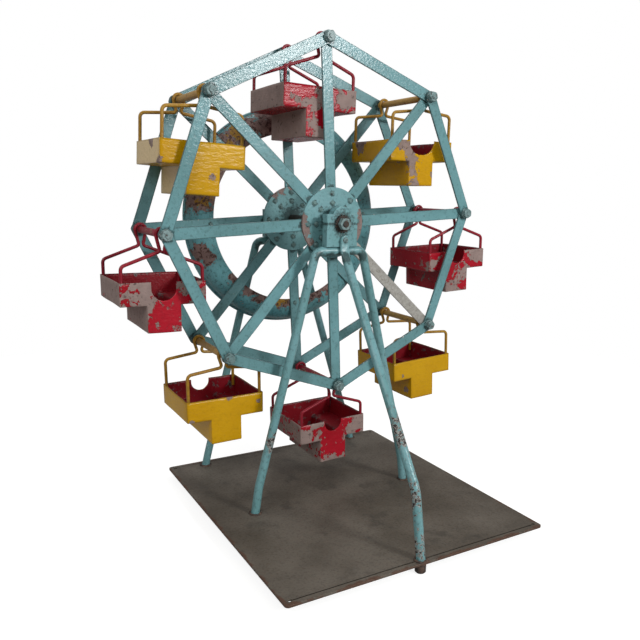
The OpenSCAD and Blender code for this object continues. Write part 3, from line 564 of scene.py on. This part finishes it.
rivet_paint = enamel(
    "blue-green enamel on rivet heads, nearly worn off", top="#4C6969", pale="#6C8A88", deep="#121717",
    under="#5A5450", bare="#241F1C", wear=0.3, size=0.003, grime=0.9,
)
dress(["front_hub_rivets", "back_hub_rivets", "ring_bolts"], rivet_paint, edge=0.2)


# Spokes and rim bars: 12.2 by 2.2 mm flat bar with filed round ends, each rim bar lapped over its neighbour at
# the corner bolt. Shears left the long edges slightly wavy, where the enamel is thin and has gone first.
bar_w, bar_t = 12.2 * mm, 2.2 * mm
corner_r = 180 * mm
chord = 2 * corner_r * math.sin(math.radians(22.5))
edge_wave, arris, thin_w = 0.16 * mm, 0.35 * mm, 1.2 * mm


def flat_bar(bm, length, place, seed):
    """Adds a round-ended bar that runs length along X from its first bolt, moved to its place.

    Its own attribute "edge" is 1 on its sides and falls to 0 within thin_w of them, for a darker band and the wear
    there.
    """
    bar = bmesh.new()
    bmesh.ops.create_circle(bar, cap_ends=True, segments=28, radius=bar_w / 2)
    far = [v for v in bar.verts if v.co.x > 1e-6]
    bmesh.ops.translate(bar, verts=far, vec=(length, 0, 0))
    # Cuts 7 mm apart carry the waves of the sheared edges
    long_edges = [e for e in bar.edges if e.calc_length() > length / 2]
    bmesh.ops.subdivide_edges(bar, edges=long_edges, cuts=int(length / (7 * mm)))
    for v in bar.verts:
        wave = noise.noise(Vector((v.co.x * 45, v.co.y * 400, seed * 3.7)))
        v.co.y += wave * edge_wave
    made = bmesh.ops.extrude_face_region(bar, geom=bar.faces[:])["geom"]
    bmesh.ops.translate(bar, verts=[v for v in made if isinstance(v, bmesh.types.BMVert)], vec=(0, 0, bar_t))
    bmesh.ops.recalc_face_normals(bar, faces=bar.faces)
    rims = [e for e in bar.edges if e.calc_face_angle(0) > 1]
    bmesh.ops.bevel(bar, geom=rims, offset=arris, segments=2, profile=0.5, affect="EDGES", material=-1)
    worn = bar.verts.layers.float.new("edge")
    for v in bar.verts:
        v[worn] = 1.0
    broad = [f for f in bar.faces if abs(f.normal.z) > 0.99]
    bmesh.ops.inset_region(bar, faces=broad, thickness=thin_w, use_even_offset=True)
    for f in broad:
        for v in f.verts:
            v[worn] = 0.0
    for f in bar.faces:
        f.smooth = abs(f.normal.z) < 0.99
    bmesh.ops.transform(bar, matrix=place, verts=bar.verts)
    add_part(bm, bar)


def on_wheel(i, radius, heading, y):
    """The place of a bar whose first bolt is at a radius towards corner i. heading turns it round from outwards."""
    direction = turn(i)
    start = hub + Vector((radius * math.sin(direction), y, radius * math.cos(direction)))
    along = direction + heading
    x_axis = Vector((math.sin(along), 0, math.cos(along)))
    z_axis = Vector((0, 1, 0))
    y_axis = z_axis.cross(x_axis)
    return Matrix.Translation(start) @ Matrix((x_axis, y_axis, z_axis)).transposed().to_4x4()


# Painted shade, with some soot, darkens the bars round each corner bolt and where the spokes run in under the disc
bar_paint = enamel(
    "blue-green enamel on flat bar", **{**blue_green, "top": "#5F8A8D", "pale": "#6D9CA1", "under": "#BDBAB4"},
    wear=0.16, size=0.004, bare_share=0.3, gloss=0.24, shine=0.42, ridge=0.32,
    shade_and_soot=[(*round_hub(180, turn(i)), 15 * mm) for i in range(1, 9)]
    + [(*round_hub(36, turn(i)), 8 * mm) for i in range(1, 9)],
)
start_r = 12 * mm + bar_w / 2
front_spoke_y, back_spoke_y = -48.2 * mm, 46 * mm
for name, stands_for, y, chosen in (
    ("front_wheel_spokes", "front_spokes", front_spoke_y, [1, 2, 3, 5, 6, 7, 8]),
    ("replacement_spoke", "bare_front_spoke", front_spoke_y, [4]),
    ("back_wheel_spokes", "back_spokes", back_spoke_y, range(1, 9)),
):
    bm = bmesh.new()
    bm.verts.layers.float.new("edge")
    for i in chosen:
        flat_bar(bm, corner_r - start_r, on_wheel(i, start_r, 0, y), i)
    piece = put_down(bm, name)
    piece.data.materials.append(bar_paint)
    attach(piece, "wheel")
    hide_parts(stands_for)
# Rim bars lie in two layers by turns, so that each end laps over the next bar's
for name, stands_for, layers in (
    ("front_wheel_rim", "front_rim_bars", (-50.4 * mm, -52.65 * mm)),
    ("back_wheel_rim", "back_rim_bars", (48.2 * mm, 50.45 * mm)),
):
    bm = bmesh.new()
    bm.verts.layers.float.new("edge")
    for i in range(1, 9):
        flat_bar(bm, chord, on_wheel(i, corner_r, math.radians(112.5), layers[(i + 1) % 2]), 20 + i)
    piece = put_down(bm, name)
    piece.data.materials.append(bar_paint)
    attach(piece, "wheel")
    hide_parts(stands_for)

# The replacement spoke was never painted: galvanised bar with a pale spangle of 4 mm crystals, scratched and dull
spangled, tree, at = new_finish("galvanised flat bar, bare and scratched")
spangle = add(tree, "TexVoronoi", {"Vector": at, "Scale": 250})
spangle = add(tree, "Math", {0: spangle, 1: 0.8}, operation="MULTIPLY")
colour = add(tree, "Mix", {0: spangle, 6: linear("#B2AFA8"), 7: linear("#8C8881")}, data_type="RGBA")
grain = add(tree, "TexNoise", {"Vector": at, "Scale": 600, "Detail": 6, "Roughness": 0.7})
marked = add(tree, "MapRange", {0: grain, 1: 0.53, 2: 0.64, 4: 0.6})
colour = add(tree, "Mix", {0: marked, 6: colour, 7: linear("#5F554C")}, data_type="RGBA")
marks = add(tree, "Bump", {"Height": grain, "Distance": 0.0001})
zinc = add(tree, "BsdfPrincipled", {"Base Color": colour, "Roughness": 0.5, "Normal": marks, "Metallic": 0.3})
add(tree, "OutputMaterial", {"Surface": zinc})
bpy.data.objects["replacement_spoke"].data.materials[0] = spangled


# Corner fasteners: 4.8 mm bolts from the back with hex nuts in front, 9.5 mm across flats, drawn up on thin
# washers and painted over where they stand.
def hex_nut(bm, across, thick, place):
    """Adds a nut with chamfered corners, its seat at z 0, moved to its place."""
    nut = bmesh.new()
    bmesh.ops.create_circle(nut, cap_ends=True, segments=48, radius=across / 2)
    for v in nut.verts:
        around = math.atan2(v.co.y, v.co.x)
        off = (around + math.pi / 6) % (math.pi / 3) - math.pi / 6
        v.co = v.co / math.cos(off)
    # The corners are turned down at about 30 degrees, to a circle just inside the flats
    chamfer_r = across / 2 * 0.96
    made = bmesh.ops.extrude_face_region(nut, geom=nut.faces[:])["geom"]
    middle = [v for v in made if isinstance(v, bmesh.types.BMVert)]
    cap = [f for f in made if isinstance(f, bmesh.types.BMFace)]
    for v in middle:
        radius = v.co.xy.length
        v.co.z = thick - (radius - chamfer_r) * 0.55
    made = bmesh.ops.extrude_face_region(nut, geom=cap)["geom"]
    bmesh.ops.delete(nut, geom=cap, context="FACES")
    for v in [v for v in made if isinstance(v, bmesh.types.BMVert)]:
        v.co.xy = v.co.xy.normalized() * chamfer_r
        v.co.z = thick
    bmesh.ops.recalc_face_normals(nut, faces=nut.faces)
    bmesh.ops.transform(nut, matrix=place, verts=nut.verts)
    add_part(bm, nut)


nut_flats, nut_h, nut_seat = 9.5 * mm, 4.2 * mm, -53.55 * mm
# Each nut came tight at its own angle
face_front = Matrix.Rotation(math.pi / 2, 4, "X")
bm = bmesh.new()
for i in range(1, 9):
    seat = Matrix.Translation(pivots[f"car_{i}_swing"] + Vector((0, nut_seat, 0)))
    hex_nut(bm, nut_flats, nut_h, seat @ face_front @ Matrix.Rotation(0.7 * i, 4, "Z"))
piece = put_down(bm, "corner_hex_nuts")
piece.data.materials.append(screw_paint)
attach(piece, "wheel")
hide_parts("corner_nuts")
dress(["corner_bolts", "corner_washers"], screw_paint, edge=0.3)


# Belt ring: one dished ring of 1.6 mm sheet, spun over a former, with a flange on the back spokes and a bead
# rolled round its back edge. Blue-green over brown primer, with an older ochre left where that too has torn.
def on_ring(angle, radius, reach):
    """A place on the ring, at an angle clockwise from the top in degrees."""
    x, y, z = round_hub(radius, math.radians(angle))
    return x, hub.y + 55 * mm, z, reach * mm


ring_paint = enamel(
    "blue-green enamel over primer on the spun ring", top="#4C838A", pale="#659BA0", deep="#1E3436", under="#7E6660",
    bare="#3F2620", wear=0.25, size=0.009, bare_share=0.4, gloss=0.25, grime=0.8, pull=0.36, shine=0.5, ridge=1.0,
    stroke=(1, 1, 0.25), older="#8F6A1C",
    # On the upper left, behind the tubs, the older coat and the chips stand partly for wear and partly for the tubs'
    # shadow, painted in
    older_places=[
        on_ring(-34, 112, 22), on_ring(-44, 104, 18), on_ring(-66, 110, 14), on_ring(-80, 106, 16),
        on_ring(187, 95, 22), on_ring(168, 97, 18),
    ],
    chipped=[on_ring(a, 93, 25) for a in range(148, 226, 11)] + [on_ring(a, 108, 34) for a in (-14, -30, -46, -62, -76)]
    + [on_ring(251, 114, 20), on_ring(246, 110, 16)],
)
dress(["belt_ring"], ring_paint, edge=0.3)


# Sleeves: lengths of 7.2 mm tube round the corner bolts, painted with their tub, so that odd ones are red and even
# ones yellow. The yellow has gone brown, and the bails' eyes have rubbed both.
sleeve_d = 7.2 * mm
yellow_sleeve = enamel(
    "yellow-brown enamel on tube", top="#BC9654", pale="#B08A4A", deep="#4A3016", under="#9A8468", bare="#4A3020",
    wear=0.3, size=0.006,
)
red_sleeve = enamel(
    "red enamel on tube", top="#861426", pale="#9A2434", deep="#3A080E", under="#A98472", bare="#5B2A1A",
    wear=0.45, size=0.008,
)
for i in range(1, 9):
    dress([f"sleeve_{i}"], red_sleeve if i % 2 else yellow_sleeve, edge=0.25)


# Bails: two to a tub, each one length of 3.4 mm wire bent round the sleeve into an eye, its two legs side by side
# at the neck and bent down into the tub's corners, where they are soldered. Yellow tubs have the longer posts.
# How far each tub has swung, in degrees
swings = [1.1, -0.4, -2.6, -3.5, -1.8, -0.8, 0.5, 2.8]
wire_d = 3.4 * mm
eye_r = sleeve_d / 2 + 0.3 * mm + wire_d / 2
neck_x = (wire_d + 0.5 * mm) / 2
post_x, bail_y = 39.5 * mm, 37.5 * mm
tub_top, post_sunk = -44.8 * mm, 12 * mm
red_wire = enamel(
    "red enamel on wire", top="#7E1022", pale="#931628", deep="#420A12", under="#7F605C", bare="#3F1E16",
    wear=0.15, size=0.004,
)
yellow_wire = enamel(
    "yellow enamel on wire, gone brown", top="#986F20", pale="#AA8026", deep="#4F3A12", under="#8A7A60",
    bare="#4A3018", wear=0.15, size=0.004,
)


def hanging(i):
    """Turns a tub's own frame, its origin in the sleeve, to the toy's."""
    return Matrix.Translation(pivots[f"car_{i}_swing"]) @ Matrix.Rotation(math.radians(swings[i - 1]), 4, "Y")


def bail(bm, i, y):
    """Adds a bail of tub i, at a depth in the tub's own frame."""
    post_top = tub_top + (15 if i % 2 else 28) * mm
    neck = (16 if i % 2 else 12.5) * mm
    meet = math.acos(eye_r / math.hypot(neck_x, neck)) - math.atan2(neck, neck_x)
    up = [
        Vector((-post_x, 0, tub_top - post_sunk)),
        Vector((-post_x, 0, post_top)),
        Vector((-neck_x, 0, -neck)),
        Vector((-eye_r * math.cos(meet), 0, eye_r * math.sin(meet))),
    ]
    down = [Vector((-p.x, 0, p.z)) for p in reversed(up)]
    bends = [0, 5 * mm, 3 * mm, 0]
    one = bmesh.new()
    first = rod_end(one, up[0], Vector((0, 0, 1)), wire_d, 14)
    ring = follow(one, first, up, bends, 9)
    ring = bend_round(one, ring, Vector(), Vector((0, 1, 0)), math.pi - 2 * meet, 22)
    last = follow(one, ring, down, bends[::-1], 9)
    close_rod(one, first, last)
    bmesh.ops.transform(one, matrix=hanging(i) @ Matrix.Translation((0, y, 0)), verts=one.verts)
    add_part(bm, one)


for i in range(1, 9):
    bm = bmesh.new()
    for y in (-bail_y, bail_y):
        bail(bm, i, y)
    piece = put_down(bm, f"bail_pair_{i}")
    piece.data.materials.append(red_wire if i % 2 else yellow_wire)
    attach(piece, f"car_{i}")
    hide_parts(f"bails_{i}")


# Tubs: T-shaped boxes folded from 1 mm sheet and soldered, a tray for the arms over a well for the legs, with a
# notch cut by hand in one end. Signal red or chrome yellow over grey-brown primer outside, dark maroon inside.
red_coat = dict(
    top="#9A0A1C", pale="#AC1226", deep="#5E0A16", under="#94807A", bare="#5F504C", size=0.011, bare_share=0.1,
    pull=0.2, ridge=0.7, gloss=0.27, shine=0.25, grime=0.25, stroke=(0.35, 0.35, 1),
)
yellow_coat = dict(
    top="#C08F00", pale="#CC9C0A", deep="#7A5A00", under="#948078", bare="#5B4A40", size=0.009, bare_share=0.2,
    pull=0.32, ridge=0.5, gloss=0.25, shine=0.25, grime=0.2, stroke=(0.35, 0.35, 1),
)
# For each tub: how worn it is, how much more so its ends are, then places (x, y, z, reach) in its own frame, in
# millimetres, where the coat has gone, and where it stays
wear_of_tub = {
    1: (0.34, 0.3, [
        (-34, -40, -56, 10), (-26, -40, -59, 11), (-18, -40, -61, 12), (-8, -40, -62, 14), (2, -40, -56, 18),
        (30, -40, -50, 30), (-10, -40, -84, 20), (0, -40, -94, 18),
    ], [(-36, -40, -46, 14), (-20, -40, -47, 16), (14, -40, -80, 12)]),
    2: (0.15, 0.03, [
        (-26, -40, -50, 16), (-16, -40, -56, 20), (-12, -40, -66, 17), (-10, -40, -78, 14), (-8, -40, -90, 12),
        (18, -40, -80, 8), (-42, 20, -48, 18),
    ], [(20, -40, -62, 16)]),
    3: (0.36, 0, [(30, -40, -50, 26), (-4, -40, -90, 30), (-36, -40, -60, 12), (10, -40, -72, 20)], []),
    4: (0.06, 0, [(-30, -40, -62, 6), (-17, -30, -84, 10)], []),
    5: (0.46, 0.1, [
        (38, -40, -50, 30), (26, -40, -60, 18), (-34, -40, -60, 18), (-20, -40, -49, 12), (-12, -40, -92, 18),
        (0, -40, -90, 8),
    ], [(1, -40, -64, 13), (9, -40, -85, 9)]),
    6: (0.06, 0, [(4, -40, -46, 7), (36, -40, -54, 8), (-38, -40, -66, 6)], []),
    7: (0.5, 0.2, [(-18, -40, -52, 30), (34, -40, -50, 14)], [(16, -40, -64, 12), (4, -40, -82, 12)]),
    8: (0.06, 0, [(9, -40, -77, 9), (-42, -12, -48, 13), (-42, -36, -66, 13)], []),
}


def tub_coat(i):
    """The outside coat of tub i. The left ends of tub 8 are cream, a painted highlight of the light from the left on
    them.
    """
    wear, ends_worn, gone, stays = wear_of_tub[i]
    gone, stays = ([(*(hanging(i) @ (Vector(p[:3]) * mm)), p[3] * mm) for p in places] for places in (gone, stays))
    name, coat = ("signal red", red_coat) if i % 2 else ("chrome yellow", yellow_coat)
    return enamel(
        f"{name} enamel over primer on tub {i}", wear=wear, ends="#DCC190" if i == 8 else None, ends_worn=ends_worn,
        chipped=gone, kept=stays, **coat,
    )


inside = enamel(
    "dark red enamel inside the tubs", top="#780C18", pale="#8A101E", deep="#2E0408", under="#7A6A68", bare="#3A2A28",
    wear=0.4, size=0.01, bare_share=0.2, gloss=0.4, grime=0.3,
)


# The tray's and the well's half widths and half their depth, then their floors' heights below the sleeve
tray_x, well_x, half_y = 42.4 * mm, 16.8 * mm, 40.5 * mm
fold, low = -67.2 * mm, -94.1 * mm
fold_r, sheet_wave, worn_w = 0.9 * mm, 0.55 * mm, 3 * mm
# The sheet's slight waves are seeded, so that each run folds the same tubs
noise.seed_set(7)


def tub_shell(i):
    """The folded sheet of tub i, in its own frame: two T-shaped walls, and the strip wrapped round them.

    Its attribute "edge" is 1 on its folds and rims and falls to 0 within worn_w of them, and "end" is 1 on its left
    ends.
    """
    one = bmesh.new()
    lay = Matrix.Translation((0, -half_y, (tub_top + low) / 2)) @ Matrix.Rotation(math.pi / 2, 4, "X")
    bmesh.ops.create_grid(one, x_segments=3, y_segments=2, size=0.5, matrix=lay)
    columns = [-tray_x, -well_x, well_x, tray_x]
    rows = [low, fold, tub_top]
    xs = sorted({round(v.co.x, 6) for v in one.verts})
    zs = sorted({round(v.co.z, 6) for v in one.verts})
    for v in one.verts:
        v.co.x = columns[xs.index(round(v.co.x, 6))]
        v.co.z = rows[zs.index(round(v.co.z, 6))]
    out = [f for f in one.faces if abs(f.calc_center_median().x) > well_x and f.calc_center_median().z < fold]
    bmesh.ops.delete(one, geom=out, context="FACES")
    wraps = [e for e in one.edges if e.is_boundary and min(v.co.z for v in e.verts) < tub_top - mm]
    copied = bmesh.ops.duplicate(one, geom=one.faces[:])["geom"]
    bmesh.ops.translate(one, verts=[v for v in copied if isinstance(v, bmesh.types.BMVert)], vec=(0, 2 * half_y, 0))
    made = bmesh.ops.extrude_edge_only(one, edges=wraps)["geom"]
    bmesh.ops.translate(one, verts=[v for v in made if isinstance(v, bmesh.types.BMVert)], vec=(0, 2 * half_y, 0))
    bmesh.ops.remove_doubles(one, verts=one.verts, dist=0.01 * mm)
    bmesh.ops.recalc_face_normals(one, faces=one.faces)
    folds = [e for e in one.edges if len(e.link_faces) == 2 and e.calc_face_angle() > 1]
    bmesh.ops.bevel(one, geom=folds, offset=fold_r, segments=3, profile=0.5, affect="EDGES", material=-1)
    worn = one.verts.layers.float.new("edge")
    sideways = one.verts.layers.float.new("end")
    one.normal_update()
    for v in one.verts:
        v[sideways] = 1.0 if v.normal.x < -0.6 else 0.0
    long = [e for e in one.edges if e.calc_length() > 8 * mm]
    bmesh.ops.subdivide_edges(one, edges=long, cuts=7, use_grid_fill=True)
    for v in one.verts:
        x, y, z = abs(v.co.x), abs(v.co.y), v.co.z
        gap = min(
            abs(x - tray_x) + abs(half_y - y),
            max(0, tub_top - z),
            abs(z - low) + min(abs(half_y - y), abs(x - well_x)),
            abs(z - fold) + min(abs(half_y - y), abs(x - well_x)) if x > well_x - mm else 1,
        )
        v[worn] = max(0.0, 1 - gap / worn_w)
        wave = noise.noise_vector(v.co * 28 + Vector((i * 5.1, 0, 0))) * sheet_wave
        v.co += wave * Vector((0.4, 1, 1))
    for f in one.faces:
        f.smooth = True
    return put_down(one, f"tub_body_{i}")


# Each notch's width and depth in millimetres, and the tubs that have it in their front wall
notch_widths = [20, 35, 21, 21, 22, 21, 25, 21]
notch_depths = [14, 15.5, 15, 14, 13, 13, 18, 14]
front_notch = [2, 3, 5, 7]
punch_t, punch_h, punch_y, slip = 8 * mm, 12 * mm, 40 * mm, 0.5 * mm
for i in range(1, 9):
    body = tub_shell(i)
    body.data.materials.append(tub_coat(i))
    body.data.materials.append(inside)
    sheet = body.modifiers.new("sheet", "SOLIDIFY")
    sheet.thickness = 1 * mm
    sheet.offset = -1
    sheet.use_even_offset = True
    sheet.material_offset = 1
    sheet.material_offset_rim = 0
    width, depth = notch_widths[i - 1] * mm, notch_depths[i - 1] * mm
    radius = min(width / 2, depth)
    punch = bmesh.new()
    bmesh.ops.create_cone(
        punch, cap_ends=True, segments=40, radius1=radius, radius2=radius, depth=punch_t,
        matrix=Matrix.Rotation(math.pi / 2, 4, "X"),
    )
    for v in punch.verts:
        v.co.x += math.copysign(max(0, width / 2 - radius), v.co.x)
        if v.co.z > 0:
            v.co.z += punch_h
        aside, down = noise.noise(v.co * 500 + Vector((0, 0, i))), noise.noise(v.co * 420 + Vector((i, 0, 0)))
        v.co += Vector((aside, 0, down)) * slip
    side = -1 if i in front_notch else 1
    bmesh.ops.translate(punch, verts=punch.verts, vec=(0, side * punch_y, tub_top - depth + radius))
    bmesh.ops.recalc_face_normals(punch, faces=punch.faces)
    cutter = put_down(punch, "notch_punch")
    cut = body.modifiers.new("notch", "BOOLEAN")
    cut.object = cutter
    cut.operation = "DIFFERENCE"
    cut.solver = "EXACT"
    bpy.context.view_layer.update()
    finished = bpy.data.meshes.new_from_object(body.evaluated_get(bpy.context.evaluated_depsgraph_get()))
    body.modifiers.clear()
    body.data = finished
    bpy.data.objects.remove(cutter)
    body.data.transform(hanging(i))
    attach(body, f"car_{i}")
    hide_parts(f"tub_{i}")
